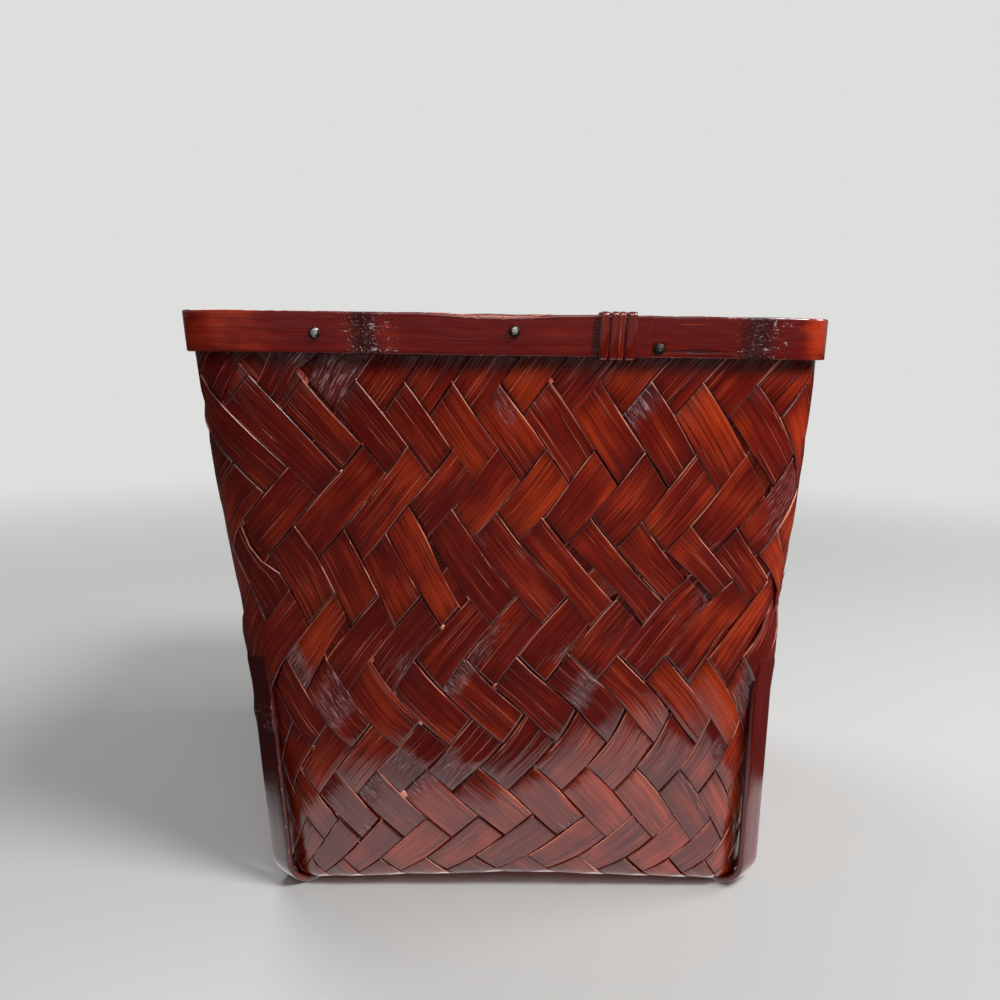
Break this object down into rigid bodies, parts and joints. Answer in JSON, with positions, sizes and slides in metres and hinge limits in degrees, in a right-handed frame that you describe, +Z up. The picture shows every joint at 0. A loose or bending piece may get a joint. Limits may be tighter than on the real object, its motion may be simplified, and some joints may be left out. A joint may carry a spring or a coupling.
{
  "type": "woven bamboo basket",
  "caption": "Square flared basket of herringbone-woven bamboo with nailed rim hoops, a cane lashing and crossed base runners; an open-topped holder that stands on a flat surface.",
  "frame": {"origin": "on the standing surface, under the middle of the rim", "axes": "+Z up out of the open top; -Y the front, with the lashing; +X to the right seen from the front"},
  "size_m": [0.268, 0.2685, 0.2598],
  "materials": {
    "splint_weave": "glossy red-brown lacquer over bamboo splints",
    "rim_bamboo": "glossy dark red lacquer over bent bamboo, worn pale at the edges",
    "inner_rim_bamboo": "satin dark red lacquer over bent bamboo",
    "lashing_cane": "lacquered flat cane",
    "runner_bamboo": "glossy dark red lacquer over bent bamboo",
    "nail_iron": "dull grey iron, spotted with lacquer"
  },
  "bodies": {
    "root": {"woven_body": "splint_weave", "outer_rim_hoop": "rim_bamboo", "inner_rim_hoop": "inner_rim_bamboo", "rim_lashing": "lashing_cane", "lower_base_runner": "runner_bamboo", "upper_base_runner": "runner_bamboo", "rim_nail_front_1": "nail_iron", "rim_nail_front_2": "nail_iron", "rim_nail_front_3": "nail_iron", "rim_nail_right_1": "nail_iron", "rim_nail_right_2": "nail_iron", "rim_nail_right_3": "nail_iron", "rim_nail_back_1": "nail_iron", "rim_nail_back_2": "nail_iron", "rim_nail_back_3": "nail_iron", "rim_nail_left_1": "nail_iron", "rim_nail_left_2": "nail_iron", "rim_nail_left_3": "nail_iron"}
  },
  "joints": []
}
